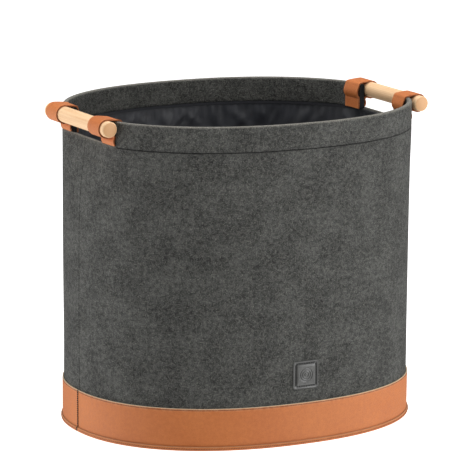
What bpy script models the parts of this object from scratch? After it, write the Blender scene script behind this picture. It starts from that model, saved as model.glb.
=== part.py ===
"""Oval felt log basket with a leather foot band and two beech bar handles in leather loops.

Metres, +Z up. X runs along the oval's long axis and Y along its short axis. The origin is the
centre of the underside, on the ground. Each beech bar lies along Y above a short end of the
oval, where the felt is drawn flat behind it, and turns freely in its two leather loops.
"""

import math

import bmesh
import bpy
import numpy as np

# Oval of the felt wall, outside. The power sets how square it is: 2 is a true ellipse.
RIM_LENGTH = 0.500
RIM_WIDTH = 0.408
FOOT_LENGTH = 0.4966
FOOT_WIDTH = 0.400
OVAL_POWER = 2.22
HEIGHT = 0.450

# How the short ends are drawn in flat towards the top, behind the bars.
END_DRAW = 0.0146
END_DRAW_FROM = 0.240
END_SOFTNESS = 0.2

# Felt wall, and the collar of the same felt folded double above the top seam.
FELT = 0.0035
COLLAR_HEIGHT = 0.036
FOLD_RADIUS = 0.0025

# Leather foot band, and the welt that turns under the bottom.
BAND_HEIGHT = 0.059
BAND_LEATHER = 0.0018
WELT_HEIGHT = 0.0055
WELT_LEATHER = 0.0015
WELT_LEG = 0.012
SOLE = 0.0016
BOARD = 0.004

# Lining bag, which hangs loose of the felt, and the tape that binds its top edge.
LINING = 0.001
LINING_SLACK = 0.001
TAPE = 0.0013
TAPE_HEIGHT = 0.004

# Beech bars.
BAR_DIAMETER = 0.022
BAR_OVER_RIM = 0.002
BAR_OVERHANG = 0.009
BAR_CHAMFER = 0.0015
GRIP_LENGTH = 0.097

# Leather loops.
STRAP_WIDTH = 0.034
STRAP_LEATHER = 0.002
STRAP_TURN = 0.003

# Stitched patch on the front wall.
PATCH_SIDE = 0.040
PATCH_THICKNESS = 0.0012
PATCH_HEIGHT = 0.098

# Clearances: between sewn or resting pieces, between a strap and the curved collar that it is
# folded over, and between a bar and what it turns in.
GAP = 0.0003
FOLD_GAP = 0.0007
BAR_CLEARANCE = 0.0003

# Worked out from the sizes above.
SEAM = HEIGHT - COLLAR_HEIGHT
COLLAR = 2 * FELT
COLLAR_FACE = RIM_LENGTH / 2 - END_DRAW
BODY_DRAW = END_DRAW - STRAP_LEATHER - 2 * GAP
BAR_RADIUS = BAR_DIAMETER / 2
BAR_X = COLLAR_FACE + BAR_CLEARANCE + BAR_RADIUS
BAR_Z = HEIGHT + BAR_OVER_RIM - BAR_RADIUS
BAR_LENGTH = GRIP_LENGTH + 2 * STRAP_WIDTH + 2 * BAR_OVERHANG
NOTCH_HALF = GRIP_LENGTH / 2
WALL_FOOT = SOLE + GAP
FLOOR = WALL_FOOT + BOARD + GAP
LINING_INSET = FELT + LINING_SLACK
BAND_INSET = -GAP - BAND_LEATHER

# Facets.
HALF_SEGMENTS = 36
END_CROWDING = 0.55
WALL_LEVELS = 6
FOLD_SEGMENTS = 3
BAR_SEGMENTS = 40
STRAP_STATIONS = 1 + round(STRAP_WIDTH / 0.0055)


def clear_scene():
    for obj in list(bpy.data.objects):
        bpy.data.objects.remove(obj)


def material(name, colour, roughness, metallic=0.0):
    """Principled material from an sRGB colour given as 0 to 255."""
    made = bpy.data.materials.new(name)
    made.use_nodes = True
    shader = made.node_tree.nodes["Principled BSDF"]
    srgb = np.array(colour) / 255
    linear = np.where(srgb <= 0.04045, srgb / 12.92, ((srgb + 0.055) / 1.055) ** 2.4)
    shader.inputs["Base Color"].default_value = (*linear, 1.0)
    shader.inputs["Roughness"].default_value = roughness
    shader.inputs["Metallic"].default_value = metallic
    made.diffuse_color = (*linear, 1.0)
    return made


def add_object(name, points, faces, finish, place=(0.0, 0.0, 0.0)):
    """Object from points and faces, with its faces turned outwards."""
    mesh = bpy.data.meshes.new(name)
    mesh.from_pydata(np.asarray(points).reshape(-1, 3).tolist(), [], faces)
    editing = bmesh.new()
    editing.from_mesh(mesh)
    bmesh.ops.recalc_face_normals(editing, faces=editing.faces)
    editing.to_mesh(mesh)
    editing.free()
    mesh.shade_smooth()
    mesh.set_sharp_from_angle(angle=math.radians(35))
    mesh.materials.append(finish)
    obj = bpy.data.objects.new(name, mesh)
    obj.location = place
    bpy.context.scene.collection.objects.link(obj)
    return obj


def half_sizes(z):
    """Half length and half width of the wall's outside at a height; the collar stands upright."""
    share = min(z / SEAM, 1.0)
    length = FOOT_LENGTH + (RIM_LENGTH - FOOT_LENGTH) * share
    width = FOOT_WIDTH + (RIM_WIDTH - FOOT_WIDTH) * share
    return length / 2, width / 2


def body_draw(z):
    """How far the wall's short ends are drawn in at a height: a cubic that starts part way up."""
    share = (z - END_DRAW_FROM) / (SEAM - END_DRAW_FROM)
    return BODY_DRAW * min(max(share, 0.0), 1.0) ** 3


def collar_draw(z):
    return END_DRAW


def signed_power(values, power):
    return np.sign(values) * np.abs(values) ** power


def wall_points(angles, z, inset, draw):
    """Points of a squared oval, inset from the wall's outside, with its ends drawn flat.

    The flat end is the soft minimum of the oval and a plane across its tip.
    """
    half_length, half_width = half_sizes(z)
    x = (half_length - inset) * signed_power(np.cos(angles), 2 / OVAL_POWER)
    y = (half_width - inset) * signed_power(np.sin(angles), 2 / OVAL_POWER)
    plane = half_length - inset - draw
    reach = np.abs(x)
    blend = np.sqrt((reach - plane) ** 2 + (END_SOFTNESS * draw) ** 2)
    x = np.sign(x) * (reach + plane - blend) / 2
    return np.stack([x, y, np.full_like(x, z)], axis=-1)


def angle_at(offset, z, inset):
    """Angle at which the oval stands that far from its long axis."""
    half_width = half_sizes(z)[1] - inset
    return math.asin((offset / half_width) ** (OVAL_POWER / 2))


def end_face(offset, z, inset, draw):
    """How far along X the wall's end face lies at that distance from the long axis."""
    angle = angle_at(offset, z, inset)
    return wall_points(np.array([angle]), z, inset, draw)[0, 0]


def half_angles(first):
    """Angles from one end of half the oval to the other, closest together near its ends."""
    share = np.linspace(0, 1, HALF_SEGMENTS + 1)
    share -= END_CROWDING * np.sin(2 * math.pi * share) / (2 * math.pi)
    return first + (math.pi - 2 * first) * share


def ring_angles():
    half = half_angles(0.0)[:-1]
    return np.concatenate([half, half + math.pi])


def swept_half(name, profile, draw, side, cut, finish):
    """Wall piece along the front (side -1) or back (side 1) half of the oval.

    The profile is a closed list of (inset, height). Both ends are cut square to Y, that far
    from the long axis.
    """
    columns = []
    for inset, z in profile:
        first = angle_at(cut, z, inset)
        angles = half_angles(first) + (math.pi if side < 0 else 0.0)
        columns.append(wall_points(angles, z, inset, draw(z)))
    points = np.stack(columns, axis=1)
    faces = ring_faces(HALF_SEGMENTS + 1, len(profile), closed=False)
    return add_object(name, points, faces, finish)


def swept_ring(name, profile, draw, finish):
    """Wall piece right round the oval, from a closed profile of (inset, height)."""
    angles = ring_angles()
    points = np.stack([wall_points(angles, z, inset, draw(z)) for inset, z in profile], axis=1)
    faces = ring_faces(2 * HALF_SEGMENTS, len(profile), closed=True)
    return add_object(name, points, faces, finish)


def ring_faces(stations, corners, closed):
    """Quads between neighbouring sections, and a cap at each end of an open sweep.

    The second half of a sheet's profile comes back along its other face, and its quads start a
    corner later, so that both faces of the sheet fold along the same diagonals.
    """
    faces = []
    for station in range(stations if closed else stations - 1):
        here = station * corners
        there = (station + 1) % stations * corners
        for corner in range(corners):
            after = (corner + 1) % corners
            quad = (here + corner, here + after, there + after, there + corner)
            if corner >= corners // 2:
                quad = quad[1:] + quad[:1]
            faces.append(quad)
    if not closed:
        faces.append(tuple(range(corners)))
        faces.append(tuple(range((stations - 1) * corners, stations * corners)))
    return faces


def plate(name, low, high, inset, finish):
    """Flat oval plate."""
    angles = ring_angles()
    points = np.stack([wall_points(angles, z, inset, 0.0) for z in (low, high)])
    # The upper face is as large as the lower one, so that the plate's edge is square.
    points[1, :, :2] = points[0, :, :2]
    count = len(angles)
    faces = [(i, (i + 1) % count, count + (i + 1) % count, count + i) for i in range(count)]
    faces.append(tuple(range(count)))
    faces.append(tuple(range(count, 2 * count)))
    return add_object(name, points, faces, finish)


def upright(outer, inner, heights):
    """Closed profile of an upright sheet, with a corner on each face at every height."""
    return [(outer, z) for z in heights] + [(inner, z) for z in heights[::-1]]


def wall_heights(low):
    """Heights shared by the felt, its lining and the tape, close where the ends are drawn in."""
    return [low, *np.linspace(END_DRAW_FROM, SEAM - TAPE_HEIGHT, WALL_LEVELS), SEAM]


def arc(centre, radius, first, last, segments):
    angles = np.linspace(first, last, segments + 1)
    return np.stack([centre[0] + radius * np.cos(angles), centre[1] + radius * np.sin(angles)], -1)


def make_walls(felt):
    """Two felt panels, sewn in a seam at the middle of each short end."""
    profile = upright(0.0, FELT, wall_heights(WALL_FOOT))
    for name, side in (("felt_body_front", -1), ("felt_body_back", 1)):
        swept_half(name, profile, body_draw, side, GAP / 2, felt)


def make_collars(felt):
    """Folded felt collar, open over both short ends so that a hand can reach under the bar."""
    low = SEAM + GAP
    top = HEIGHT - FOLD_RADIUS
    outside = arc((FOLD_RADIUS, top), FOLD_RADIUS, math.pi, math.pi / 2, FOLD_SEGMENTS)
    inside = arc((COLLAR - FOLD_RADIUS, top), FOLD_RADIUS, math.pi / 2, 0.0, FOLD_SEGMENTS)
    profile = [(0.0, low), *map(tuple, outside), *map(tuple, inside), (COLLAR, low)]
    for name, side in (("collar_front", -1), ("collar_back", 1)):
        swept_half(name, profile, collar_draw, side, NOTCH_HALF, felt)


def make_foot(leather, cloth, board):
    """Leather band in two lengths, the welt under it, the bottom cloth and its stiff board."""
    profile = upright(BAND_INSET, -GAP, [WALL_FOOT, BAND_HEIGHT])
    for name, side in (("leather_band_front", -1), ("leather_band_back", 1)):
        swept_half(name, profile, body_draw, side, GAP / 2, leather)
    inner = BAND_INSET - GAP
    outer = inner - WELT_LEATHER
    profile = [
        (outer, 0.0),
        (outer, WELT_HEIGHT),
        (inner, WELT_HEIGHT),
        (inner, SOLE),
        (WELT_LEG, SOLE),
        (WELT_LEG, 0.0),
    ]
    swept_ring("base_welt", profile, body_draw, leather)
    plate("base_cloth", 0.0, SOLE, WELT_LEG + GAP, cloth)
    plate("base_board", WALL_FOOT, WALL_FOOT + BOARD, LINING_INSET, board)


def make_lining(lining, tape):
    """Lining bag: its wall hangs inside the felt, its floor lies on the board."""
    inner = LINING_INSET + LINING
    profile = upright(LINING_INSET, inner, wall_heights(FLOOR))
    swept_ring("lining_wall", profile, body_draw, lining)
    plate("lining_floor", FLOOR, FLOOR + LINING, inner + GAP, lining)
    profile = upright(inner + GAP, inner + GAP + TAPE, [SEAM - TAPE_HEIGHT, SEAM])
    swept_ring("lining_binding", profile, body_draw, tape)


def make_patch(finish):
    """Square patch that follows the curve of the front wall."""
    low = PATCH_HEIGHT - PATCH_SIDE / 2
    high = PATCH_HEIGHT + PATCH_SIDE / 2
    half_length = half_sizes(PATCH_HEIGHT)[0]
    spread = math.asin((PATCH_SIDE / 2 / half_length) ** (OVAL_POWER / 2))
    angles = np.linspace(-math.pi / 2 - spread, -math.pi / 2 + spread, 9)
    profile = upright(-GAP - PATCH_THICKNESS, -GAP, [low, high])
    points = np.stack([wall_points(angles, z, inset, 0.0) for inset, z in profile], axis=1)
    add_object("label_patch", points, ring_faces(len(angles), len(profile), False), finish)


def make_bar(name, end, wood):
    """Turned bar along Y with chamfered ends. Its origin is on the axis that it turns about."""
    half = BAR_LENGTH / 2
    rings = (
        (-half, BAR_RADIUS - BAR_CHAMFER),
        (-half + BAR_CHAMFER, BAR_RADIUS),
        (half - BAR_CHAMFER, BAR_RADIUS),
        (half, BAR_RADIUS - BAR_CHAMFER),
    )
    angles = np.linspace(0, 2 * math.pi, BAR_SEGMENTS, endpoint=False)
    points = [
        np.stack([radius * np.cos(angles), np.full_like(angles, y), radius * np.sin(angles)], -1)
        for y, radius in rings
    ]
    faces = ring_faces(len(rings), BAR_SEGMENTS, closed=False)
    add_object(name, np.stack(points), faces, wood, place=(end * BAR_X, 0.0, BAR_Z))


def strap_section(offset):
    """Closed outline of a strap in the XZ plane at that distance from the long axis.

    Its middle line climbs the collar's inner face, turns over the fold, runs as a tangent onto
    the bar, goes round the bar's outside and underneath, and turns down the collar's outer face.
    """
    half = STRAP_LEATHER / 2
    inner_face = end_face(offset, HEIGHT, COLLAR, END_DRAW)
    outer_face = end_face(offset, HEIGHT, 0.0, END_DRAW)
    tail_foot = SEAM + GAP

    fold_radius = FOLD_RADIUS + FOLD_GAP + half
    fold = np.array([inner_face + FOLD_RADIUS, HEIGHT - FOLD_RADIUS])
    bar_radius = BAR_RADIUS + BAR_CLEARANCE + half
    bar = np.array([BAR_X, BAR_Z])
    tail_x = outer_face + GAP + half

    across = bar - fold
    distance = float(np.hypot(*across))
    lean = math.atan2(across[1], across[0])
    leave = lean + math.acos((fold_radius - bar_radius) / distance)

    turn_x = tail_x + STRAP_TURN
    drop = math.sqrt((bar_radius + STRAP_TURN) ** 2 - (BAR_X - turn_x) ** 2)
    turn = np.array([turn_x, BAR_Z - drop])
    release = math.atan2(turn[1] - bar[1], turn[0] - bar[0])

    def edge(shift):
        """One face of the strap: outwards of the loop for a positive shift."""
        return np.concatenate(
            [
                [[inner_face - FOLD_GAP - half - shift, tail_foot]],
                arc(fold, fold_radius + shift, math.pi, leave, 4),
                arc(bar, bar_radius + shift, leave, release, 22),
                arc(turn, STRAP_TURN - shift, release + math.pi, math.pi, 5)[1:],
                [[tail_x + shift, tail_foot]],
            ]
        )

    return np.concatenate([edge(half), edge(-half)[::-1]])


def make_strap(name, end, side, leather):
    """Leather strap, lofted across its width so that its tails follow the curved collar."""
    offsets = np.linspace(NOTCH_HALF, NOTCH_HALF + STRAP_WIDTH, STRAP_STATIONS)
    points = []
    for offset in offsets:
        section = strap_section(offset)
        y = np.full(len(section), side * offset)
        points.append(np.stack([end * section[:, 0], y, section[:, 1]], axis=-1))
    faces = ring_faces(STRAP_STATIONS, len(points[0]), closed=False)
    add_object(name, np.stack(points), faces, leather)


def make_handles(wood, leather):
    for end, word in ((-1, "left"), (1, "right")):
        make_bar(f"dowel_{word}", end, wood)
        make_strap(f"strap_{word}_front", end, -1, leather)
        make_strap(f"strap_{word}_back", end, 1, leather)


clear_scene()
felt_grey = material("felt", (84, 83, 79), 0.95)
tan_leather = material("tan_leather", (196, 128, 86), 0.5)
beech = material("beech", (232, 200, 160), 0.45)
make_walls(felt_grey)
make_collars(felt_grey)
make_foot(tan_leather, material("base_cloth", (40, 40, 42), 0.9), material("board", (120, 92, 62), 0.8))
make_lining(material("lining", (44, 47, 53), 0.6), material("tape", (24, 25, 28), 0.7))
make_patch(material("patch", (92, 92, 92), 0.55))
make_handles(beech, tan_leather)
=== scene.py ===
"""Looks of an oval felt log basket with a leather foot band and two beech bars in leather loops.

The sections follow the making of the basket: felt wall, patch, leather foot, lining bag, collar,
loops and bars. Metres, +Z up, X along the oval's long axis, origin under the middle of the bottom.
"""

import math

import bmesh
import bpy
import numpy as np
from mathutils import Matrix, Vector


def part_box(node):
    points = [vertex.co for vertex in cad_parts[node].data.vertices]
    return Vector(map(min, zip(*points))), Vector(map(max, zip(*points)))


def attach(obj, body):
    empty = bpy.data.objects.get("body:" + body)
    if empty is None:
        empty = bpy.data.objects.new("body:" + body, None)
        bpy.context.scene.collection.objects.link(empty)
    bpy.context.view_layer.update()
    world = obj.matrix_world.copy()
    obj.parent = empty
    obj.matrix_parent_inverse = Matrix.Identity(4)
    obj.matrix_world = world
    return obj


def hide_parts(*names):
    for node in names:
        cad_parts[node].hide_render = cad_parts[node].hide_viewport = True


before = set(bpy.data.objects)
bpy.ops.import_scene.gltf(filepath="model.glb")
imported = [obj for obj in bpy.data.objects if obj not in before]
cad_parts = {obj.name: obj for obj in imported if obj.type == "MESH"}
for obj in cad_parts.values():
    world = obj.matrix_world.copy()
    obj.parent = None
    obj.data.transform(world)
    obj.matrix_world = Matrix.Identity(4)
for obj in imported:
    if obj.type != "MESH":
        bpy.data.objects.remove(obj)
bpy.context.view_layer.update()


# Felt wall. Two panels of thick charcoal wool felt, front and back, seamed together at the middle
# of each short end. The wall widens a little upwards, and its short ends are drawn in flat
# towards the top, where the bars hang.

OVAL_POWER = 2.22
FOOT_HALF = (0.2483, 0.2000)
SEAM_HALF = (0.2500, 0.2040)
DRAW_FROM = 0.240
DRAW_EASE = 1.3
DRAW_SOFTNESS = 0.2
WALL_DRAW = 0.0120
FELT = 0.0035
FELT_ROLL = 0.0014
FELT_PITCH = 0.0045
SLACK = 0.0008
HAND_GAP = 0.0465
HAND_GAP_LIFT = 0.0024
LIFT_FADE = 0.02
LIP = 0.0022
LIP_END = 0.0840
GIRTH_HEIGHT = 0.2
GAP = 0.0003

wall_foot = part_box("felt_body_front")[0].z
seam_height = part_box("felt_body_front")[1].z
band_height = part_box("leather_band_front")[1].z


def dye(red, green, blue):
    """Linear colour from a shade chosen as 0 to 255 on the display's curve."""
    shade = np.array((red, green, blue)) / 255
    linear = np.where(shade <= 0.04045, shade / 12.92, ((shade + 0.055) / 1.055) ** 2.4)
    return (*linear.tolist(), 1.0)


class Shade:
    """One socket of a material. Arithmetic on it adds Math nodes, and node() adds any other."""

    def __init__(self, socket):
        self.socket = socket

    def node(self, kind, settings, inputs, output=0):
        tree = self.socket.id_data
        made = tree.nodes.new("ShaderNode" + kind)
        for setting, value in settings.items():
            setattr(made, setting, value)
        for name, value in inputs.items():
            if isinstance(value, Shade):
                tree.links.new(value.socket, made.inputs[name])
            else:
                made.inputs[name].default_value = value
        return Shade(made.outputs[output])

    def maths(self, operation, first, second=0.0):
        return self.node("Math", {"operation": operation}, {0: first, 1: second})

    def __add__(self, other):
        return self.maths("ADD", self, other)

    __radd__ = __add__

    def __sub__(self, other):
        return self.maths("SUBTRACT", self, other)

    def __rsub__(self, other):
        return self.maths("SUBTRACT", other, self)

    def __mul__(self, other):
        return self.maths("MULTIPLY", self, other)

    __rmul__ = __mul__

    def __pow__(self, other):
        return self.maths("POWER", self, other)

    def sine(self):
        return self.maths("SINE", self)

    def between(self, low, high):
        """0 below low, 1 above high, and a smooth step from one to the other."""
        settings = {"interpolation_type": "SMOOTHSTEP"}
        return self.node("MapRange", settings, {"Value": self, "From Min": low, "From Max": high})

    def stretched(self, scale):
        return self.node("Mapping", {}, {"Vector": self, "Scale": scale})

    def turned(self, angle):
        return self.node("Mapping", {}, {"Vector": self, "Rotation": (0, 0, angle)})

    def noise(self, scale, detail=2.0, roughness=0.55, distortion=0.0):
        sizes = {"Scale": scale, "Detail": detail, "Roughness": roughness, "Distortion": distortion}
        return self.node("TexNoise", {}, {"Vector": self, **sizes})

    def cells(self, scale):
        """Distance from the nearest border between cells."""
        border = {"feature": "DISTANCE_TO_EDGE"}
        return self.node("TexVoronoi", border, {"Vector": self, "Scale": scale})

    def blend(self, first, second):
        """The first colour where this value is 0, the second where it is 1."""
        return self.node("Mix", {"data_type": "RGBA"}, {0: self, 6: first, 7: second}, output=2)

    def axis(self, name):
        return self.node("SeparateXYZ", {}, {0: self}, output="XYZ".index(name))


def start_finish(name, **sockets):
    """New material with even values on its shader, and the object coordinates that it reads."""
    made = bpy.data.materials.new(name)
    made.use_nodes = True
    shader = made.node_tree.nodes["Principled BSDF"]
    for socket, value in sockets.items():
        shader.inputs[socket.replace("_", " ")].default_value = value
    place = made.node_tree.nodes.new("ShaderNodeTexCoord").outputs["Object"]
    return made, Shade(place)


def mark(finish, name):
    """A value that the mesh carries under that name."""
    made = finish.node_tree.nodes.new("ShaderNodeAttribute")
    made.attribute_name = name
    return Shade(made.outputs["Fac"])


def end_finish(finish, colour, roughness, height, depth):
    """Joins colour and roughness to the shader, and the height to its normal as a relief."""
    tree = finish.node_tree
    shader = tree.nodes["Principled BSDF"]
    relief = height.node("Bump", {}, {"Height": height, "Distance": depth, "Strength": 1.0})
    tree.links.new(colour.socket, shader.inputs["Base Color"])
    tree.links.new(roughness.socket, shader.inputs["Roughness"])
    tree.links.new(relief.socket, shader.inputs["Normal"])
    return finish


def felt_finish():
    """Heather felt: dark wool clouded with paler tufts, and short light hairs lying every way.

    The pattern lies on the felt's own surface, by the distances along and up it. The edge mark
    is 1 along folds and exposed cut edges, where a painted highlight makes the wool paler, and
    -1 along the seam where collar and wall meet, where painted shade makes it near black.
    """
    finish, _ = start_finish("charcoal_felt", Specular_IOR_Level=0.5)
    along, up = mark(finish, "along"), mark(finish, "up")
    place = along.node("CombineXYZ", {}, {0: along, 1: up})
    clouds = place.noise(24, 2).between(0.36, 0.64)
    tufts = place.noise(170, 4, 0.7).between(0.36, 0.63)
    specks = place.noise(560, 2, 0.6).between(0.42, 0.62)
    lint = place.noise(560, 1).between(0.62, 0.74)
    hair = 0.0
    for turn in (0.1, 0.75, 1.35, 1.95, 2.6):
        lying = place.turned(turn).stretched((110, 800, 1))
        hair = hair + lying.noise(1.0, 1, 0.5, 1.2).between(0.60, 0.74)
    hair = hair.between(0.0, 1.3)
    fleece = clouds * 0.24 + tufts * 0.46 + specks * 0.3
    wool = (fleece**1.5).blend(dye(24, 24, 23), dye(87, 88, 83))
    wool = (hair * 0.4).blend(wool, dye(126, 125, 116))
    wool = (lint * 0.42).blend(wool, dye(150, 148, 138))
    painted_highlight_and_shade = mark(finish, "painted_highlight_and_shade")
    # Painted highlight: folds and exposed cut edges are made paler.
    wool = (painted_highlight_and_shade * (0.45 + specks * 0.4)).blend(wool, dye(150, 146, 136))
    # Painted shade: the seam where collar and wall meet is made near black.
    wool = (painted_highlight_and_shade * -0.6).blend(wool, dye(8, 8, 8))
    height = tufts * 0.5 + hair * 0.3 + specks * 0.3
    return end_finish(finish, wool, 0.86 - fleece * 0.5, height, 0.001)


def step(values, low, high):
    """0 below low, 1 above high, and 3t^2 - 2t^3 between them; the two may be given high first."""
    share = np.clip((values - low) / (high - low), 0, 1)
    return share * share * (3 - 2 * share)


def oval(turn, z, inset, draw, softness=DRAW_SOFTNESS):
    """Points of the squared oval, for arrays that broadcast together.

    x = a cos^(2/n) and y = b sin^(2/n), each with its sign kept. Half sizes a and b grow evenly
    from foot to seam, less the inset. The ends are then drawn flat: |x| becomes the soft minimum
    of |x| and p = a - draw, which is (|x| + p - sqrt((|x| - p)^2 + (s draw)^2)) / 2.
    """
    turn, z, inset, draw, softness = np.broadcast_arrays(turn, z, inset, draw, softness)
    share = np.minimum(z / seam_height, 1)
    half_x = FOOT_HALF[0] + (SEAM_HALF[0] - FOOT_HALF[0]) * share - inset
    half_y = FOOT_HALF[1] + (SEAM_HALF[1] - FOOT_HALF[1]) * share - inset
    reach = half_x * np.abs(np.cos(turn)) ** (2 / OVAL_POWER)
    side = half_y * np.abs(np.sin(turn)) ** (2 / OVAL_POWER)
    plane = half_x - draw
    reach = (reach + plane - np.sqrt((reach - plane) ** 2 + (softness * draw) ** 2)) / 2
    return np.stack([np.sign(np.cos(turn)) * reach, np.sign(np.sin(turn)) * side, z], axis=-1)


def wall(turn, z, inset):
    """The oval with the felt wall's own draw: a cubic of the height from where it starts.

    It eases in below the seam, so its softness s grows downwards from the collar's.
    """
    share = np.clip((z - DRAW_FROM) / (seam_height - DRAW_FROM), 0, 1)
    return oval(turn, z, inset, WALL_DRAW * share**3, DRAW_SOFTNESS + DRAW_EASE * (1 - share))


def slack(turn, z):
    """How far the hanging felt wavers inwards: slow waves, none at the band or at the seam."""
    waves = 0.5 * np.sin(3 * turn + 9 * z + 0.4) + 0.3 * np.sin(7 * turn - 13 * z + 1.9)
    waves = waves + 0.2 * np.sin(12 * turn + 21 * z)
    fade = step(z, band_height + 0.005, 0.14) * step(z, seam_height, seam_height - 0.06)
    return SLACK * (0.5 + waves) * fade


fine_turns = np.linspace(0, 2 * math.pi, 12001)
fine_steps = np.linalg.norm(np.diff(wall(fine_turns, GIRTH_HEIGHT, 0.0), axis=0), axis=1)
fine_girth = np.concatenate([[0], np.cumsum(fine_steps)])
girth = fine_girth[-1]


def turn_at(distance):
    """Turn of the point that far round the wall, from the right end by way of the back."""
    return np.interp(distance, fine_girth, fine_turns)


def stations(first, last, pitch, roll):
    """Distances between two cut ends: crowded over a roll's width at each, else a pitch apart."""
    near = roll * (1 - np.cos(np.linspace(0, math.pi / 2, 6)))
    count = int(round((last - first - 2 * roll) / pitch))
    middle = np.linspace(first + roll, last - roll, count + 1)
    return np.concatenate([first + near[:-1], middle, (last - near[:-1])[::-1]])


def rolled(distance, first, last, roll):
    """Depth of the rounding at both cut ends: a quarter circle r - sqrt(r^2 - (r - d)^2)."""
    near = np.minimum(distance - first, last - distance)
    short = np.clip(roll - near, 0, roll)
    return roll - np.sqrt(roll**2 - short**2)


def outline(corners):
    """Closed section through corners given as (across, up, rounding, parts of the next run).

    A corner C is rounded by the parabola (1-t)^2 P + 2t(1-t) C + t^2 Q, where P and Q lie at the
    rounding's distance along its two edges. The straight run after it is cut into equal parts.
    """
    spots = np.array([corner[:2] for corner in corners], float)
    back = np.roll(spots, 1, axis=0) - spots
    ahead = np.roll(spots, -1, axis=0) - spots
    back /= np.linalg.norm(back, axis=1, keepdims=True)
    ahead /= np.linalg.norm(ahead, axis=1, keepdims=True)
    bends = []
    for spot, before, after, (_, _, size, _) in zip(spots, back, ahead, corners):
        t = np.linspace(0, 1, 4 if size else 1)[:, None]
        first, last = spot + before * size, spot + after * size
        bends.append((1 - t) ** 2 * first + 2 * t * (1 - t) * spot + t**2 * last)
    points = []
    for bend, following, corner in zip(bends, bends[1:] + bends[:1], corners):
        t = np.linspace(0, 1, corner[3] + 1)[1:-1, None]
        points += [bend, bend[-1] + (following[0] - bend[-1]) * t]
    return np.concatenate(points).T


def skin(name, grid, finish, ring=False, marks=(), sharp=40):
    """Closed skin over a grid of points: rows run along the piece, columns go round its section.

    A quad joins a point, the next in its section, and the same two in the next row. A ring's
    last row meets its first, and otherwise a flat face closes each end. A grid with four axes
    holds several such skins. All faces are turned outwards.
    """
    if grid.ndim == 3:
        grid = grid[None]
    index = np.arange(grid[..., 0].size).reshape(grid.shape[:3])
    here = index if ring else index[:, :-1]
    there = np.roll(index, -1, axis=1)[:, : here.shape[1]]
    quads = np.stack([here, np.roll(here, -1, 2), np.roll(there, -1, 2), there], axis=-1)
    faces = quads.reshape(-1, 4).tolist()
    if not ring:
        faces += index[:, 0, ::-1].tolist() + index[:, -1].tolist()
    mesh = bpy.data.meshes.new(name)
    mesh.from_pydata(grid.reshape(-1, 3).tolist(), [], faces)
    for title, values in dict(marks).items():
        values = np.broadcast_to(values, grid.shape[:3]).ravel().astype(np.float32)
        mesh.attributes.new(title, "FLOAT", "POINT").data.foreach_set("value", values)
    measured = bmesh.new()
    measured.from_mesh(mesh)
    if measured.calc_volume(signed=True) < 0:
        mesh.flip_normals()
    measured.free()
    mesh.shade_smooth()
    mesh.set_sharp_from_angle(angle=math.radians(sharp))
    mesh.materials.append(finish)
    piece = bpy.data.objects.new(name, mesh)
    bpy.context.scene.collection.objects.link(piece)
    return piece


felt = felt_finish()
felt_section = outline(
    [
        (0, wall_foot, 0.0005, 90),
        (0, seam_height, 0.0012, 3),
        (FELT, seam_height, 0.0006, 40),
        (FELT, wall_foot, 0.0005, 3),
    ]
)
for side, half_start in (("back", 0.0), ("front", girth / 2)):
    first = half_start + GAP / 2
    last = half_start + girth / 2 - GAP / 2
    distance = stations(first, last, FELT_PITCH, FELT_ROLL)[:, None]
    turn = turn_at(distance)
    inset, z = felt_section
    roll = rolled(distance, first, last, FELT_ROLL) * (1 - inset / FELT)
    from_end = np.minimum(distance - first, last - distance)
    bare = step(from_end, HAND_GAP, HAND_GAP - 0.002)
    lip = step(from_end, LIP_END, LIP_END - 0.001)
    # Painted highlight on the top edge where it shows in the hand gap, painted shade under the collar.
    edge = step(z, seam_height - 0.0016, seam_height - 0.0004)
    lift = HAND_GAP_LIFT * np.where(inset < LIP, lip, bare)
    lift = lift * step(z, seam_height - LIFT_FADE, seam_height)
    panel = skin(
        f"felt_wall_{side}",
        wall(turn, z, inset + roll + slack(turn, z)) + lift[..., None] * (0, 0, 1),
        felt,
        marks={"along": distance, "up": z + inset, "painted_highlight_and_shade": edge * (2 * lip - 1)},
    )
    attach(panel, "basket")
    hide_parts(f"felt_body_{side}")


# Leather foot band. Two lengths of tan pebbled leather wrapped round the foot of the felt. Their
# raw top edge is pale, with a row of stitches in a crease just under it, and dark thread laces
# the two lengths together at each short end.

BAND_OUTSIDE = -0.0021
BAND_INSIDE = -0.0003
BAND_PITCH = 0.0045
BAND_ROLL = 0.0012
BAND_WORN = 0.006
CREASE_DROP = 0.0022
CREASE_DEPTH = 0.00045
CREASE_WIDTH = 0.0006
EDGE_PITCH = 0.0040
EDGE_STITCH = 0.0031
EDGE_THREAD = 0.0006
LACE_PITCH = 0.0028
LACE_STITCH = 0.0019
LACE_THREAD = 0.0018
LACE_SLANT = 0.0011
LACE_FOOT = 0.0010
LACE_INSET = -0.0020
LACE_OVER_WELT = -0.0038


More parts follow.
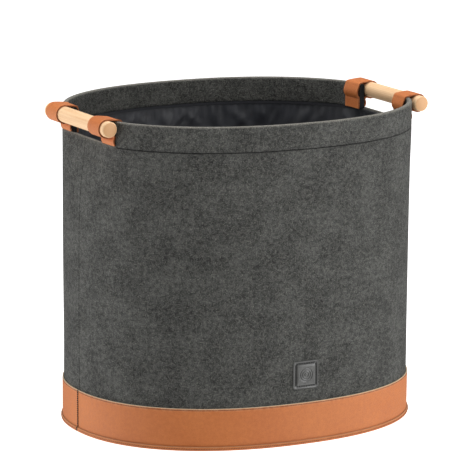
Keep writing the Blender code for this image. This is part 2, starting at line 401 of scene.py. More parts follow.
def leather_finish(name, cut_edge, worn):
    """Tan leather: pebbled grain with dark creases, cloudy dye, worn edges and a bare cut edge."""
    finish, place = start_finish(
        name, Specular_IOR_Level=0.42, Coat_Weight=0.04, Coat_Roughness=0.35
    )
    dye_clouds = place.noise(11, 3, 0.5).between(0.3, 0.7)
    mottle = place.noise(170, 3, 0.6).between(0.3, 0.7)
    pebbles = place.cells(950).between(0.0, 0.16)
    hide = (dye_clouds * 0.55 + mottle * 0.45).blend(dye(200, 112, 55), dye(217, 130, 69))
    hide = ((1 - pebbles) * 0.30).blend(hide, dye(152, 80, 38))
    # Painted shade, darker in the grooves that the mesh marks.
    hide = (mark(finish, "emboss_and_painted_groove_shade") * 0.75).blend(hide, dye(112, 58, 28))
    hide = (mark(finish, "worn") * mottle * 0.5).blend(hide, dye(*worn))
    fibres = place.noise(900, 2).between(0.35, 0.7)
    raw = (1 - fibres * 0.8).blend(dye(*cut_edge), dye(*(shade * 0.82 for shade in cut_edge)))
    cut = mark(finish, "cut").between(0.35, 0.65)
    colour = cut.blend(hide, raw)
    roughness = 0.46 + mottle * 0.10 + cut * 0.30
    return end_finish(finish, colour, roughness, pebbles * 0.7 + mottle * 0.5, 0.00012)


def thread_finish(name, shade):
    """Waxed thread: two plies laid round each other, so that slanting ridges run along it."""
    finish, place = start_finish(name, Specular_IOR_Level=0.4)
    plies = (mark(finish, "lay") * (2 * math.pi)).sine() * 0.5 + 0.5
    lint = place.noise(1500, 2)
    colour = (plies * 0.6 + lint * 0.4).blend(dye(*(part * 0.62 for part in shade)), dye(*shade))
    return end_finish(finish, colour, 0.75 - lint * 0.3, plies, 0.0001)


def stitches(name, starts, ends, lift, thread, finish):
    """Row of stitches, each a thread that rises out of the material and sinks back into it.

    Middle line: start + (end - start) t + thread (0.75 sin(pi t) - 0.25) up. Round it runs a
    circle of half the thread's thickness, drawn in at both ends by the fourth power of 2t - 1.
    """
    t = np.linspace(0, 1, 6)[:, None]
    round_it = np.linspace(0, 2 * math.pi, 6, endpoint=False)
    along = ends - starts
    up = lift / np.linalg.norm(lift, axis=-1, keepdims=True)
    across = np.cross(along, up)
    across /= np.linalg.norm(across, axis=-1, keepdims=True)
    rise = thread * (0.75 * np.sin(math.pi * t) - 0.25)
    middle = starts[:, None] + along[:, None] * t + up[:, None] * rise
    radius = (thread / 2 * (1 - 0.4 * (2 * t - 1) ** 4))[..., None]
    circle = across[:, None] * np.cos(round_it)[:, None] + up[:, None] * np.sin(round_it)[:, None]
    grid = middle[:, :, None] + radius * circle[:, None]
    length = np.linalg.norm(along, axis=-1)[:, None, None]
    lay = t[None] * length / (1.6 * thread) + np.abs(round_it - math.pi) / math.pi
    return skin(name, grid, finish, marks={"lay": lay}, sharp=75)


def wall_stitches(name, distance, z, inset, run, thread, finish):
    """Stitches on the wall's outside. run is each one's (distance, height) from start to end."""
    first = wall(turn_at(distance), z, inset)
    last = wall(turn_at(distance + run[0]), z + run[1], inset)
    lift = wall(turn_at(distance), z, inset - 0.001) - first
    return stitches(name, first, last, lift, thread, finish)


band_leather = leather_finish("band_leather", cut_edge=(236, 212, 178), worn=(226, 176, 138))
band_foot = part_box("leather_band_front")[0].z
welt_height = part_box("base_welt")[1].z
band_section = outline(
    [
        (BAND_OUTSIDE, band_foot, 0.0003, 34),
        (BAND_OUTSIDE, band_height - BAND_WORN, 0, 14),
        (BAND_OUTSIDE, band_height, 0.0004, 3),
        (BAND_INSIDE, band_height, 0.0003, 20),
        (BAND_INSIDE, band_foot, 0.0003, 3),
    ]
)
tan_thread = thread_finish("tan_thread", (158, 92, 52))
dark_thread = thread_finish("dark_thread", (34, 36, 33))
inset, z = band_section
outward = (BAND_INSIDE - inset) / (BAND_INSIDE - BAND_OUTSIDE)
crease = CREASE_DEPTH * np.exp(-(((z - band_height + CREASE_DROP) / CREASE_WIDTH) ** 2))
bare = step(z, band_height - 0.0009, band_height - 0.0005)
for side, half_start in (("back", 0.0), ("front", girth / 2)):
    first = half_start + GAP / 2
    last = half_start + girth / 2 - GAP / 2
    distance = stations(first, last, BAND_PITCH, BAND_ROLL)[:, None]
    sunk = (rolled(distance, first, last, BAND_ROLL) + crease) * outward
    worn = step(z, band_height - BAND_WORN, band_height) * np.ones_like(distance)
    above_welt = 0.4 * step(z, welt_height + 0.0030, welt_height)
    # Painted shade in the crease under the edge stitches and in the groove just above the welt.
    emboss_and_painted_groove_shade = np.maximum(crease / CREASE_DEPTH, above_welt) * outward
    band = skin(
        f"foot_band_{side}",
        wall(turn_at(distance), z, inset + sunk),
        band_leather,
        marks={"cut": bare, "worn": worn, "emboss_and_painted_groove_shade": emboss_and_painted_groove_shade},
    )
    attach(band, "basket")
    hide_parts(f"leather_band_{side}")

edge_row = np.arange(EDGE_PITCH / 2, girth - EDGE_STITCH, EDGE_PITCH)
edge_stitches = wall_stitches(
    "band_edge_stitches",
    edge_row,
    band_height - CREASE_DROP,
    BAND_OUTSIDE + CREASE_DEPTH * 0.8,
    (EDGE_STITCH, 0.0),
    EDGE_THREAD,
    tan_thread,
)
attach(edge_stitches, "basket")

lace_rows = np.arange(LACE_FOOT, band_height - LACE_STITCH, LACE_PITCH)
for end, seam_at in (("left", girth / 2), ("right", 0.0)):
    slant = np.where(np.arange(len(lace_rows)) % 2, LACE_SLANT, -LACE_SLANT)
    lace_inset = np.where(lace_rows < welt_height, LACE_OVER_WELT, LACE_INSET)
    turns = [turn_at(np.mod(seam_at + shift, girth)) for shift in (slant, -slant)]
    first = wall(turns[0], lace_rows, lace_inset)
    last = wall(turns[1], lace_rows + LACE_STITCH, lace_inset)
    lift = wall(turns[0], lace_rows, lace_inset - 0.001) - first
    lace = stitches(f"band_lacing_{end}", first, last, lift, LACE_THREAD, dark_thread)
    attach(lace, "basket")


# Label patch. A 40 mm square of grey leather on the front of the foot, softly padded inside a row
# of dark stitches, with the rings of a sawn log pressed into the middle.

PATCH_HALF = 0.020
PATCH_RISE = 0.0013
PATCH_CORNER = 14
BORDER = 0.0040
GROOVE_WIDTH = 0.0014
PATCH_PITCH = 0.0038
PATCH_STITCH = 0.0028
PATCH_THREAD = 0.0008
PATCH_ROW_INSET = -0.0009
RING_RADII = (0.0030, 0.0062, 0.0092)
RING_DEPTH = 0.0005
RING_WIDTH = 0.0008

patch_low, patch_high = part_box("label_patch")
patch_centre = (patch_low.z + patch_high.z) / 2


def patch_point(across, up, inset):
    """Point of the front wall that far along X and up from the patch's centre."""
    z = patch_centre + up
    half_length = FOOT_HALF[0] + (SEAM_HALF[0] - FOOT_HALF[0]) * z / seam_height
    lean = np.arcsin((np.abs(across) / half_length) ** (OVAL_POWER / 2)) * np.sign(across)
    turn = 1.5 * math.pi + lean
    return wall(turn, z, inset + slack(turn, z))


def patch_leather_finish():
    """Smooth grey leather, darker in its pores and lighter where it is rubbed."""
    finish, place = start_finish(
        "patch_leather", Specular_IOR_Level=0.4, Coat_Weight=0.8, Coat_Roughness=0.14
    )
    clouds = place.noise(90, 3).between(0.3, 0.7)
    pores = place.cells(1300).between(0.0, 0.15)
    hide = clouds.blend(dye(62, 62, 60), dye(80, 80, 77))
    hide = ((1 - pores) * 0.35).blend(hide, dye(56, 56, 54))
    # Darker in the pressed log rings, with painted shade in the groove along the stitches.
    hide = (mark(finish, "emboss_and_painted_groove_shade") * 0.6).blend(hide, dye(44, 44, 42))
    return end_finish(finish, hide, 0.36 + clouds * 0.12, pores, 0.00008)


# Rings of a rounded square, |x|^n + |y|^n = 1 shrunk by each share, run from the middle of the
# face out to its edge and back under it. A groove follows the stitches, and three circles the log.
face_shares = np.concatenate([np.linspace(0.01, 0.985, 70), [1.0]])
shares = np.concatenate([face_shares, face_shares[::-10]])[:, None]
front_face = (np.arange(len(shares)) < len(face_shares))[:, None]
bearing = np.linspace(0, 2 * math.pi, 240, endpoint=False)
square = (np.abs(np.cos(bearing)) ** PATCH_CORNER + np.abs(np.sin(bearing)) ** PATCH_CORNER) ** (
    -1 / PATCH_CORNER
)
across = PATCH_HALF * shares * square * np.cos(bearing)
up = PATCH_HALF * shares * square * np.sin(bearing)
from_edge = PATCH_HALF * (1 - shares)
pillow = step(from_edge, BORDER, BORDER + 0.005)
groove = np.exp(-(((from_edge - BORDER) / GROOVE_WIDTH) ** 2))
from_middle = np.hypot(across, up)
rings = sum(np.exp(-(((from_middle - radius) / RING_WIDTH) ** 2)) for radius in RING_RADII)
rise = PATCH_RISE * (0.75 + 0.35 * pillow - 0.65 * groove) - RING_DEPTH * rings
rise = rise * step(from_edge, -0.0001, 0.0006)
inset = np.where(front_face, -GAP - rise, -GAP + 0.0002)
# Darker in the pressed log rings, with painted shade in the groove along the stitches.
emboss_and_painted_groove_shade = np.where(front_face, np.clip(rings + groove, 0, 1), 0)
patch = skin(
    "sewn_patch",
    patch_point(across, up, inset),
    patch_leather_finish(),
    marks={"emboss_and_painted_groove_shade": emboss_and_painted_groove_shade},
)
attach(patch, "basket")
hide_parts("label_patch")

row_half = PATCH_HALF - BORDER
row = np.arange(-row_half + 0.0006, row_half - PATCH_STITCH, PATCH_PITCH)
row += (row_half - PATCH_STITCH - row[-1]) / 2 - 0.0003
fixed = np.full_like(row, row_half)
sides = ((row, fixed, 1, 0), (row, -fixed, 1, 0), (fixed, row, 0, 1), (-fixed, row, 0, 1))
starts, ends, lifts = [], [], []
for along_x, along_z, run_x, run_z in sides:
    end_x, end_z = along_x + PATCH_STITCH * run_x, along_z + PATCH_STITCH * run_z
    starts.append(patch_point(along_x, along_z, PATCH_ROW_INSET))
    ends.append(patch_point(end_x, end_z, PATCH_ROW_INSET))
    lifts.append(patch_point(along_x, along_z, PATCH_ROW_INSET - 0.001) - starts[-1])
patch_stitches = stitches(
    "patch_stitches",
    np.concatenate(starts),
    np.concatenate(ends),
    np.concatenate(lifts),
    PATCH_THREAD,
    dark_thread,
)
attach(patch_stitches, "basket")


# Bottom. A dark cotton cloth closes the foot and a stiff fibreboard lies on it. A folded strip of
# the same tan leather, the welt, binds band and cloth together and is the basket's foot.

CLOTH_INSET = 0.0123
CLOTH_THREADS = 900
WELT_OUTSIDE = -0.0039
WELT_LEATHER = 0.0015
WELT_LEG = 0.012
WELT_PITCH = 0.0034
WELT_STITCH = 0.0027
WELT_THREAD = 0.0008
WELT_ROW = 0.0022
WELT_SLANT = 0.0011
WELT_SEAM = 0.004

cloth_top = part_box("base_cloth")[1].z


def cotton_finish():
    """Plain weave: warp and weft cross as the product of two sines of X and Y."""
    finish, place = start_finish(
        "dark_cotton", Sheen_Weight=0.1, Sheen_Roughness=0.4, Specular_IOR_Level=0.25
    )
    slub = place.noise(60, 3).between(0.3, 0.7)
    warp = (place.axis("X") * (CLOTH_THREADS * math.pi)).sine()
    weft = (place.axis("Y") * (CLOTH_THREADS * math.pi)).sine()
    over = warp * weft * 0.5 + 0.5
    colour = (over * 0.5 + slub * 0.5).blend(dye(34, 34, 36), dye(58, 58, 60))
    return end_finish(finish, colour, 0.95 - slub * 0.1, over + slub * 0.3, 0.0002)


def disc(name, low, high, inset, finish, crown=0.0):
    """Flat oval plate, as ovals shrunk from its edge towards the middle above and below.

    Its upper face may swell by crown (1 - share^2).
    """
    shares = np.array([0.02, 0.2, 0.4, 0.6, 0.8, 0.95, 0.994, 1.0])
    edge = wall(turn_at(np.linspace(0, girth, 240, endpoint=False)), low, inset)
    lower = edge * np.array([1, 1, 0]) * shares[:, None, None]
    upper = lower[::-1].copy()
    rounding = np.where(shares == 1.0, 0.0003, 0.0)[:, None]
    lower[..., 2] = low + rounding
    upper[..., 2] = high - rounding[::-1] + crown * (1 - shares[::-1, None] ** 2)
    return skin(name, np.concatenate([lower, upper]), finish)


bottom_cloth = disc("bottom_cloth", 0.0, cloth_top, CLOTH_INSET, cotton_finish())
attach(bottom_cloth, "basket")
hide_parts("base_cloth")


def board_finish():
    """Pressed fibreboard: brown pulp with paler chips and short dark strands."""
    finish, place = start_finish("fibreboard", Specular_IOR_Level=0.3)
    pulp = place.noise(180, 4, 0.65).between(0.3, 0.7)
    strands = place.stretched((120, 900, 900)).noise(1.0, 2).between(0.55, 0.7)
    colour = pulp.blend(dye(104, 78, 52), dye(140, 108, 74))
    colour = (strands * 0.5).blend(colour, dye(82, 60, 40))
    return end_finish(finish, colour, 0.9 - pulp * 0.1, pulp + strands * 0.4, 0.0003)


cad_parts["base_board"].data.materials.clear()
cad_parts["base_board"].data.materials.append(board_finish())

welt_section = outline(
    [
        (WELT_OUTSIDE, 0, 0.0006, 8),
        (WELT_OUTSIDE, welt_height, 0.0005, 3),
        (WELT_OUTSIDE + WELT_LEATHER, welt_height, 0.0003, 6),
        (WELT_OUTSIDE + WELT_LEATHER, cloth_top, 0.0002, 8),
        (WELT_LEG, cloth_top, 0.0002, 2),
        (WELT_LEG, 0, 0.0002, 10),
    ]
)
inset, z = welt_section
turn = turn_at(np.linspace(0, girth, 360, endpoint=False))[:, None]
welt_bare = (z > welt_height - 0.0004) * (inset < BAND_OUTSIDE)
welt = skin(
    "welt",
    wall(turn, z, inset),
    leather_finish("welt_leather", cut_edge=(214, 164, 122), worn=(206, 142, 98)),
    ring=True,
    marks={"cut": welt_bare, "worn": 0.5},
)
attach(welt, "basket")
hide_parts("base_welt")

welt_row = np.arange(WELT_SEAM, girth - WELT_SEAM, WELT_PITCH)
welt_row = welt_row[np.abs(welt_row - girth / 2) > WELT_SEAM]
welt_stitches = wall_stitches(
    "welt_stitches",
    welt_row,
    WELT_ROW,
    WELT_OUTSIDE,
    (WELT_STITCH, WELT_SLANT),
    WELT_THREAD,
    tan_thread,
)
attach(welt_stitches, "basket")


# Lining bag. Thin black nylon, a wall and a floor sewn together. It hangs loose inside the felt
# from a woven tape that binds its top edge to the seam under the collar, so it falls in soft
# creases.

NYLON = 0.0006
NYLON_OUTSIDE = 0.0045
TAPE_OUTSIDE = 0.0039
TAPE_INSIDE = 0.0066
TAPE = 0.0005
TAPE_SHOWN = 0.0040
TAPE_BEHIND = 0.0045
CREASES = 84
CREASE_DEPTHS = (0.0005, 0.0019)
CREASE_WIDTHS = (0.0035, 0.0095)
CREASE_LEAN = 1.4
CREASE_SLIDE = 0.12
PUCKER = 0.0004
PUCKER_PITCH = 0.011
FLOOR_CROWN = 0.0008

floor_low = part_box("lining_floor")[0].z
floor_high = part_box("lining_floor")[1].z
lining_top = seam_height - TAPE - GAP


def nylon_finish():
    """Close black nylon with a dull shine: fine ribs up the wall, and cloudy darker and lighter
    patches.
    """
    finish, place = start_finish(
        "black_nylon", Sheen_Weight=0.05, Sheen_Roughness=0.35, Specular_IOR_Level=0.6
    )
    ribs = (place.axis("Z") * 4200).sine() * 0.5 + 0.5
    clouds = place.noise(35, 3).between(0.3, 0.7)
    colour = clouds.blend(dye(40, 42, 47), dye(52, 54, 60))
    colour = (ribs * 0.3).blend(colour, dye(32, 34, 38))
    return end_finish(finish, colour, 0.40 + clouds * 0.12, ribs * 0.4 + clouds, 0.0002)


def tape_finish(name, dark, light):
    """Narrow woven tape with a rib across it every millimetre or so."""
    finish, place = start_finish(name, Sheen_Weight=0.1, Specular_IOR_Level=0.25)
    ribs = (mark(finish, "length") * (2 * math.pi / 0.0011)).sine() * 0.5 + 0.5
    lint = place.noise(500, 2)
    colour = (ribs * 0.7 + lint * 0.3).blend(dye(*dark), dye(*light))
    return end_finish(finish, colour, 0.85 - lint * 0.1, ribs, 0.0002)


luck = np.random.default_rng(11)
crease_at = girth * (np.arange(CREASES) + luck.uniform(-0.4, 0.4, CREASES)) / CREASES
crease_lean = luck.uniform(-CREASE_LEAN, CREASE_LEAN, CREASES)
crease_depth = luck.uniform(*CREASE_DEPTHS, CREASES)
crease_width = luck.uniform(*CREASE_WIDTHS, CREASES)
crease_drop = luck.uniform(0.03, 0.35, CREASES)


def creases(distance, z):
    """How far the lining stands off the felt: the sum of soft ridges exp(-(d / w)^2).

    Each ridge starts just under the tape and dies out at its own depth. It slides sideways by
    its lean times a tanh of its fall and widens as it goes. d is the distance from its middle,
    taken the short way round.
    """
    fall = (lining_top - z)[..., None]
    apart = distance[..., None] - crease_at - crease_lean * CREASE_SLIDE * np.tanh(fall / CREASE_SLIDE)
    apart = np.mod(apart + girth / 2, girth) - girth / 2
    width = crease_width * (1 + 4 * fall)
    ridge = crease_depth * np.exp(-((apart / width) ** 2))
    fade = step(fall, 0.004, 0.022) * (0.25 + 0.75 * step(fall, crease_drop, crease_drop * 0.4))
    return (ridge * fade).sum(axis=-1) * step(z, floor_high, floor_high + 0.03)


nylon = nylon_finish()
tape_cloth = tape_finish("woven_tape", (34, 35, 39), (54, 55, 60))
lining_section = outline(
    [
        (NYLON_OUTSIDE, floor_high, 0, 90),
        (NYLON_OUTSIDE, lining_top, 0, 1),
        (NYLON_OUTSIDE + NYLON, lining_top, 0, 90),
        (NYLON_OUTSIDE + NYLON, floor_high, 0, 1),
    ]
)
inset, z = lining_section
distance = np.linspace(0, girth, 520, endpoint=False)[:, None]
puckers = PUCKER * np.sin(distance * 2 * math.pi / PUCKER_PITCH + 2 * np.sin(distance * 31))
puckers = puckers * step(z, lining_top - 0.03, lining_top - 0.005)
puckers = puckers * step(z, lining_top, lining_top - 0.004) + PUCKER
loose = creases(*np.broadcast_arrays(distance, z)) + puckers
lining = skin("lining_bag_wall", wall(turn_at(distance), z, inset + loose), nylon, ring=True)
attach(lining, "basket")
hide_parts("lining_wall")

floor_inset = NYLON_OUTSIDE + NYLON + GAP
lining_floor = disc(
    "lining_bag_floor", floor_low, floor_low + NYLON, floor_inset, nylon, crown=FLOOR_CROWN
)
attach(lining_floor, "basket")
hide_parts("lining_floor")

tape_section = outline(
    [
        (TAPE_OUTSIDE, seam_height - TAPE_BEHIND, 0, 4),
        (TAPE_OUTSIDE, seam_height, 0.0003, 1),
        (TAPE_INSIDE, seam_height, 0.0005, 4),
        (TAPE_INSIDE, seam_height - TAPE_SHOWN, 0.0001, 1),
        (TAPE_INSIDE - TAPE, seam_height - TAPE_SHOWN, 0.0001, 4),
        (TAPE_INSIDE - TAPE, seam_height - TAPE, 0, 1),
        (TAPE_OUTSIDE + TAPE, seam_height - TAPE, 0, 4),
        (TAPE_OUTSIDE + TAPE, seam_height - TAPE_BEHIND, 0, 1),
    ]
)
inset, z = tape_section
distance = np.linspace(0, girth, 480, endpoint=False)[:, None]
tape = skin(
    "lining_tape",
    wall(turn_at(distance), z, inset),
    tape_cloth,
    ring=True,
    marks={"length": distance},
)
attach(tape, "basket")
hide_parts("lining_binding")


# Collar. A strip of the same felt folded double over the top and sewn above the seam. It stands
# in two lengths, front and back, and stops short at both ends to leave room for a hand.

COLLAR_DRAW = 0.0146
COLLAR = 2 * FELT
COLLAR_SLIT = 0.0004
COLLAR_PITCH = 0.0045

rim_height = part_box("collar_front")[1].z
collar_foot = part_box("collar_front")[0].z
strap_reach = (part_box("strap_right_back")[0].y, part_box("strap_right_back")[1].y)
collar_end = strap_reach[0]


def turn_beside(offset, z, inset):
    """Turn at which the oval stands that far from the long axis, near the right end."""
    share = np.minimum(z / seam_height, 1)
    half_y = FOOT_HALF[1] + (SEAM_HALF[1] - FOOT_HALF[1]) * share - inset
    return np.arcsin((offset / half_y) ** (OVAL_POWER / 2))


layer = (COLLAR - COLLAR_SLIT) / 2
collar_section = outline(
    [
        (0, collar_foot, 0.0012, 10),
        (0, rim_height, 0.0031, 1),
        (COLLAR, rim_height, 0.0031, 10),
        (COLLAR, collar_foot, 0.0010, 2),
        (COLLAR - layer, collar_foot, 0.0006, 10),
        (COLLAR - layer, rim_height - layer, 0, 1),
        (layer, rim_height - layer, 0, 10),
        (layer, collar_foot, 0.0006, 2),
    ]
)
# Painted shade: the collar's cut ends are near black, as if in shadow in the hand gap beside the
# loops.
painted_shade_collar_end = tape_finish("painted_shade_collar_end", (10, 11, 14), (26, 28, 32))
inset, z = collar_section
start = turn_beside(collar_end, z, inset)
distance = stations(collar_end, girth / 2 - collar_end, COLLAR_PITCH, 0.001)[:, None]
even = (turn_at(distance) - turn_at(collar_end)) / (math.pi - 2 * turn_at(collar_end))
up = np.concatenate([[0], np.cumsum(np.hypot(np.diff(inset), np.diff(z)))])
# The front strip's pattern starts half_turn further along the felt, so the two strips differ.
for side, half_turn in (("back", 0.0), ("front", math.pi)):
    turn = half_turn + start + (math.pi - 2 * start) * even
    # Painted highlight along the rim fold, and painted shade at the foot where the collar meets the
    # wall.
    collar = skin(
        f"felt_collar_{side}",
        oval(turn, z, inset, COLLAR_DRAW),
        felt,
        marks={
            "along": distance + half_turn,
            "up": up + seam_height,
            "painted_highlight_and_shade": step(z, rim_height - 0.0024, rim_height - 0.0004)
            - step(z, collar_foot + 0.0016, collar_foot + 0.0004),
        },
        sharp=50,
    )
    collar.data.materials.append(painted_shade_collar_end)
    for end_face in list(collar.data.polygons)[-2:]:
        end_face.material_index = 1
    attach(collar, "basket")
    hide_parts(f"collar_{side}")


# Leather loops. Four straps of thick tan leather carry the bars. Each starts at the inside seam,
# is stitched flat through the collar level with the bar's underside, bulges a little, goes over
# the rim and round the bar, and comes back down the outside into the seam.

STRAP_LEATHER = 0.002
STRAP_CORNER = 0.0005
FOLD_RADIUS = 0.0025
FOLD_GAP = 0.0007
BAR_CLEARANCE = 0.0003
STRAP_TURN = 0.003
STRAP_BULGE = 0.0030
TAIL_BULGE = 0.0016
PINCH_DIP = 0.0009
PINCH_STITCH = 0.0026
PINCH_PITCH = 0.0035
PINCH_THREAD = 0.0008
PINCH_FIRST = 0.0026
PINCH_LAST = 0.0043
TAIL_ROW_DROP = 0.004
CLIMB_ROWS = 40
TAIL_ROWS = 22

bar_low, bar_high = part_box("dowel_right")
bar_radius = (bar_high.z - bar_low.z) / 2
bar_x = (bar_low.x + bar_high.x) / 2
bar_z = (bar_low.z + bar_high.z) / 2
tail_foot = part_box("strap_right_back")[0].z
pinch_height = bar_z - bar_radius - 0.0006


def bow(centre, radius, first, last, count):
    """Points at one radius round a centre, from the first angle to the last, for every column."""
    angle = first + (last - first) * np.linspace(0, 1, count)[:, None]
    across, up = centre[0] + radius * np.cos(angle), centre[1] + radius * np.sin(angle)
    return np.stack(np.broadcast_arrays(across, up), axis=-1)


def strap_surface(offset, lift):
    """Points of a loop on the right, at those distances from the long axis, off its middle line.

    The middle line climbs the collar's inside with a bulge sin(pi t) above the pinch, turns over
    the rim on a small circle, runs as a tangent onto the bar's circle, leaves it underneath on a
    reversed circle and goes down the collar's outside. A few passes of 1/4, 1/2, 1/4 soften it.
    """
    half = STRAP_LEATHER / 2
    inside, outside = (
        oval(turn_beside(offset, rim_height, inset), rim_height, inset, COLLAR_DRAW)[:, 0]
        for inset in (COLLAR, 0.0)
    )
    rim = (inside + FOLD_RADIUS, rim_height - FOLD_RADIUS)
    rim_turn = FOLD_RADIUS + FOLD_GAP + half
    bar_turn = bar_radius + BAR_CLEARANCE + half
    reach = np.hypot(bar_x - rim[0], bar_z - rim[1])
    lean = np.arctan2(bar_z - rim[1], bar_x - rim[0])
    leave = lean + np.arccos((rim_turn - bar_turn) / reach)
    turn_x = outside + GAP + half + STRAP_TURN
    turn_z = bar_z - np.sqrt((bar_turn + STRAP_TURN) ** 2 - (bar_x - turn_x) ** 2)
    release = np.arctan2(turn_z - bar_z, turn_x - bar_x)

    climb = np.linspace(0, 1, CLIMB_ROWS)[:, None] ** 0.9
    z = tail_foot + (rim[1] - tail_foot) * climb + 0 * inside
    above = np.clip((z - pinch_height) / (rim[1] - pinch_height), 0, 1)
    dip = PINCH_DIP * np.exp(-(((z - pinch_height) / 0.0014) ** 2))
    bulge = STRAP_BULGE * np.sin(math.pi * above**0.85)
    up_inside = np.stack([inside - FOLD_GAP - half + dip - bulge, z], axis=-1)
    down = np.linspace(0, 1, TAIL_ROWS)[:, None] ** 1.1
    tail_z = turn_z + (tail_foot + HAND_GAP_LIFT - turn_z) * down
    tail_x = outside + GAP + half + TAIL_BULGE * np.sin(math.pi * down) ** 1.5
    down_outside = np.stack([tail_x, tail_z], axis=-1)
    line = np.concatenate(
        [
            up_inside,
            bow(rim, rim_turn, math.pi, leave, 10)[1:],
            bow((bar_x, bar_z), bar_turn, leave, release, 56),
            bow((turn_x, turn_z), STRAP_TURN, release + math.pi, math.pi, 9)[1:],
            down_outside[1:],
        ]
    )
    for _ in range(5):
        line[1:-1] = line[:-2] / 4 + line[1:-1] / 2 + line[2:] / 4
    run = np.gradient(line, axis=0)
    run /= np.linalg.norm(run, axis=-1, keepdims=True)
    off = line + np.stack([-run[..., 1], run[..., 0]], axis=-1) * lift[:, None]
    return np.stack([off[..., 0], np.broadcast_to(offset, off.shape[:2]), off[..., 1]], axis=-1)


strap_leather = leather_finish("strap_leather", cut_edge=(172, 98, 52), worn=(226, 150, 98))
half = STRAP_LEATHER / 2
offset, lift = outline(
    [
        (strap_reach[0], -half, STRAP_CORNER, 2),
        (strap_reach[0], half, STRAP_CORNER, 18),
        (strap_reach[1], half, STRAP_CORNER, 2),
        (strap_reach[1], -half, STRAP_CORNER, 18),
    ]
)
loop = strap_surface(offset, lift)
from_side = np.minimum(offset - strap_reach[0], strap_reach[1] - offset)
cut_side = step(from_side, STRAP_CORNER * 0.9, STRAP_CORNER * 0.3)
rubbed = step(from_side, 0.0030, 0.0006)
# Stitches at the pinch on the inside, and level with them on the outside.
stitch_row = np.arange(strap_reach[0] + PINCH_FIRST, strap_reach[1] - PINCH_LAST, PINCH_PITCH)
on_face = np.full_like(stitch_row, half)
stitch_from = strap_surface(stitch_row, on_face)
stitch_to = strap_surface(stitch_row + PINCH_STITCH, on_face)
stitch_lift = strap_surface(stitch_row, on_face + 0.001) - stitch_from
heights = stitch_from[:, 0, 2]
pinched = np.argmin(np.abs(heights[:CLIMB_ROWS] - pinch_height))
tail_heights = heights[-TAIL_ROWS:]
tail = len(heights) - TAIL_ROWS + np.argmin(np.abs(tail_heights - pinch_height + TAIL_ROW_DROP))
for end, mirror_x in (("left", -1), ("right", 1)):
    for side, mirror_y in (("front", -1), ("back", 1)):
        mirror = np.array([mirror_x, mirror_y, 1])
        strap = skin(
            f"loop_{end}_{side}",
            loop * mirror,
            strap_leather,
            marks={"cut": cut_side, "worn": rubbed},
            sharp=50,
        )
        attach(strap, "basket")
        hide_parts(f"strap_{end}_{side}")
        starts, ends, lifts = (
            np.concatenate([grid[pinched], grid[tail]]) * mirror
            for grid in (stitch_from, stitch_to, stitch_lift)
        )
        pinch = stitches(
            f"loop_stitches_{end}_{side}", starts, ends, lifts, PINCH_THREAD, tan_thread
        )
        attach(pinch, "basket")


# Bars. Two round beech rods with eased ends, sanded and left pale. They reach past their loops
# front and back, and turn freely in them.

BAR_EASE = 0.0015
HEART_BEYOND = 0.012
HEART_BELOW = 0.035


def beech_finish():
    """Beech sawn from a log whose heart lies outside the bar: rings round that heart show as
    long grain on the sides and as arcs on the ends, with short brown flecks along the grain."""
    finish, place = start_finish(
        "beech", Specular_IOR_Level=0.4, Coat_Weight=0.08, Coat_Roughness=0.3
    )
    waver = place.stretched((40, 5, 40)).noise(1.0, 3)
    out_x = place.maths("ABSOLUTE", place.axis("X")) - bar_x + HEART_BEYOND
    out_z = place.axis("Z") - bar_z + HEART_BELOW
    radius = (out_x * out_x + out_z * out_z) ** 0.5
    rings = (radius * 2600 + waver * 9).sine() * 0.5 + 0.5
    streaks = place.stretched((300, 12, 300)).noise(1.0, 3, 0.55).between(0.25, 0.75)
    flecks = place.stretched((1500, 210, 1500)).noise(1.0, 1).between(0.62, 0.72)
    wood = (rings * 0.35 + streaks * 0.65).blend(dye(234, 188, 141), dye(250, 212, 168))
    wood = (flecks * 0.3).blend(wood, dye(196, 140, 94))
    wood = (mark(finish, "end_grain") * 0.8).blend(wood, dye(222, 168, 118))
    height = streaks * 0.5 + (1 - flecks) * 0.5
    return end_finish(finish, wood, 0.46 + streaks * 0.12, height, 0.00008)


beech = beech_finish()
bar_half = (bar_high.y - bar_low.y) / 2
ease = BAR_EASE * np.linspace(0, 1, 7)
half_rows = np.concatenate([bar_half - ease, np.linspace(bar_half - BAR_EASE, 0, 24)[1:-1]])
bar_rows = np.concatenate([-half_rows, [0], half_rows[::-1]])[:, None]
past = np.clip((np.abs(bar_rows) - bar_half + BAR_EASE) / BAR_EASE, 0, 1)
radius = bar_radius - BAR_EASE * past**1.35
round_bar = np.linspace(0, 2 * math.pi, 96, endpoint=False)
for end, mirror_x in (("left", -1), ("right", 1)):
    grid = np.stack(
        np.broadcast_arrays(
            mirror_x * bar_x + radius * np.cos(round_bar),
            bar_rows,
            bar_z + radius * np.sin(round_bar),
        ),
        axis=-1,
    )
    bar = skin(f"beech_bar_{end}", grid, beech, marks={"end_grain": step(past, 0.9, 1.0)})
    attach(bar, f"{end}_bar")
    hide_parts(f"dowel_{end}")


# Studio. A pale floor in an even white room whose end behind the camera is dark, soft lights at
# either side, in front and above, and a long lens that looks down a little from the front left.

CAMERA_AZIMUTH = -28.6516
CAMERA_ELEVATION = 11.6274
CAMERA_DISTANCE = 4.9589
CAMERA_ROLL = 0.4774
CAMERA_LENS = 267.72
AIM_RIGHT = -0.00268
AIM_UP = 0.03188
AIM_HEIGHT = 0.22512
ROOM_GLOW = 1.16
DARK_END_HEIGHT = -10
FLOOR_GLOW = 0.8


def away(azimuth, elevation):
    """Unit vector from the basket towards something seen on that bearing and that high."""
    turn, rise = math.radians(azimuth), math.radians(elevation)
    flat = math.cos(rise)
    return np.array([math.sin(turn) * flat, -math.cos(turn) * flat, math.sin(rise)])


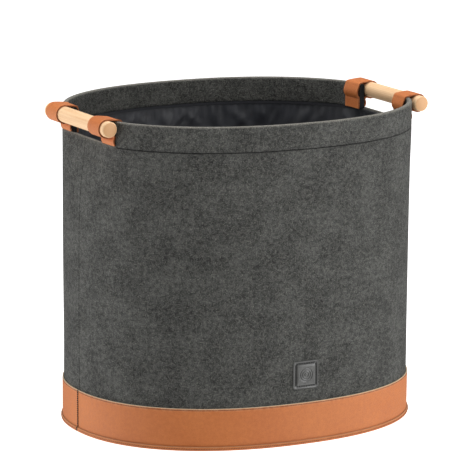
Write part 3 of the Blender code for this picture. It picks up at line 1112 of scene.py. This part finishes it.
scene = bpy.context.scene
scene.view_settings.view_transform = "Standard"
scene.world = bpy.data.worlds.new("white_room")
scene.world.use_nodes = True
room = scene.world.node_tree
heading = Shade(room.nodes.new("ShaderNodeTexCoord").outputs["Generated"])
dark_end = tuple(away(CAMERA_AZIMUTH, DARK_END_HEIGHT).tolist())
facing = heading.node("VectorMath", {"operation": "DOT_PRODUCT"}, {0: heading, 1: dark_end}, 1)
height = heading.axis("Z")
glow = (1 - facing.between(0.64, 0.90) * 0.97) * (1 - facing.between(-0.2, -0.85) * 0.8)
glow = glow * (1 - height.between(0.0, 0.7) * 0.5 + height.between(0.0, -0.6) * 0.45) * ROOM_GLOW
room.nodes["Background"].inputs["Color"].default_value = (1, 1, 1, 1)
room.links.new(glow.socket, room.nodes["Background"].inputs["Strength"])

floor_mesh = bpy.data.meshes.new("studio_floor")
floor_corners = [(-30, -30, -0.0003), (30, -30, -0.0003), (30, 30, -0.0003), (-30, 30, -0.0003)]
floor_mesh.from_pydata(floor_corners, [], [(0, 1, 2, 3)])
floor = bpy.data.objects.new("studio_floor", floor_mesh)
scene.collection.objects.link(floor)
floor.visible_diffuse = False
floor.visible_glossy = False
floor_finish, _ = start_finish(
    "pale_floor",
    Base_Color=(0.9, 0.9, 0.9, 1),
    Roughness=0.9,
    Emission_Color=(1, 1, 1, 1),
    Emission_Strength=FLOOR_GLOW,
)
floor_mesh.materials.append(floor_finish)


def soft_light(name, azimuth, elevation, distance, size, power):
    lamp = bpy.data.lights.new(name, "AREA")
    lamp.shape = "RECTANGLE"
    lamp.size, lamp.size_y = size
    lamp.energy = power
    stand = bpy.data.objects.new(name, lamp)
    place = away(azimuth, elevation) * distance + np.array([0, 0, AIM_HEIGHT])
    stand.location = place
    stand.rotation_euler = (
        math.pi / 2 - math.radians(elevation),
        0,
        math.radians(azimuth),
    )
    scene.collection.objects.link(stand)


soft_light("left_light", CAMERA_AZIMUTH - 84, 12, 1.9, (0.8, 1.3), 8)
soft_light("right_light", CAMERA_AZIMUTH + 66, 6, 1.9, (0.8, 1.2), 11)
soft_light("high_right_light", CAMERA_AZIMUTH + 68, 46, 1.9, (0.6, 0.3), 4)
soft_light("front_light", CAMERA_AZIMUTH, 56, 2.0, (1.6, 1.0), 5)
soft_light("top_light", CAMERA_AZIMUTH + 180, 78, 2.0, (1.2, 1.2), 21)

back = away(CAMERA_AZIMUTH, CAMERA_ELEVATION)
azimuth = math.radians(CAMERA_AZIMUTH)
right = np.array([math.cos(azimuth), math.sin(azimuth), 0])
upward = np.cross(back, right)
roll = math.radians(CAMERA_ROLL)
aim = np.array([0, 0, AIM_HEIGHT]) + AIM_RIGHT * right + AIM_UP * upward
lens = bpy.data.cameras.new("camera")
lens.lens = CAMERA_LENS
lens.sensor_width = 36
lens.clip_end = 100
camera = bpy.data.objects.new("camera", lens)
scene.collection.objects.link(camera)
axes = np.eye(4)
axes[:3, 0] = right * math.cos(roll) + upward * math.sin(roll)
axes[:3, 1] = upward * math.cos(roll) - right * math.sin(roll)
axes[:3, 2] = back
axes[:3, 3] = aim + back * CAMERA_DISTANCE
camera.matrix_world = axes.T.tolist()
scene.camera = camera
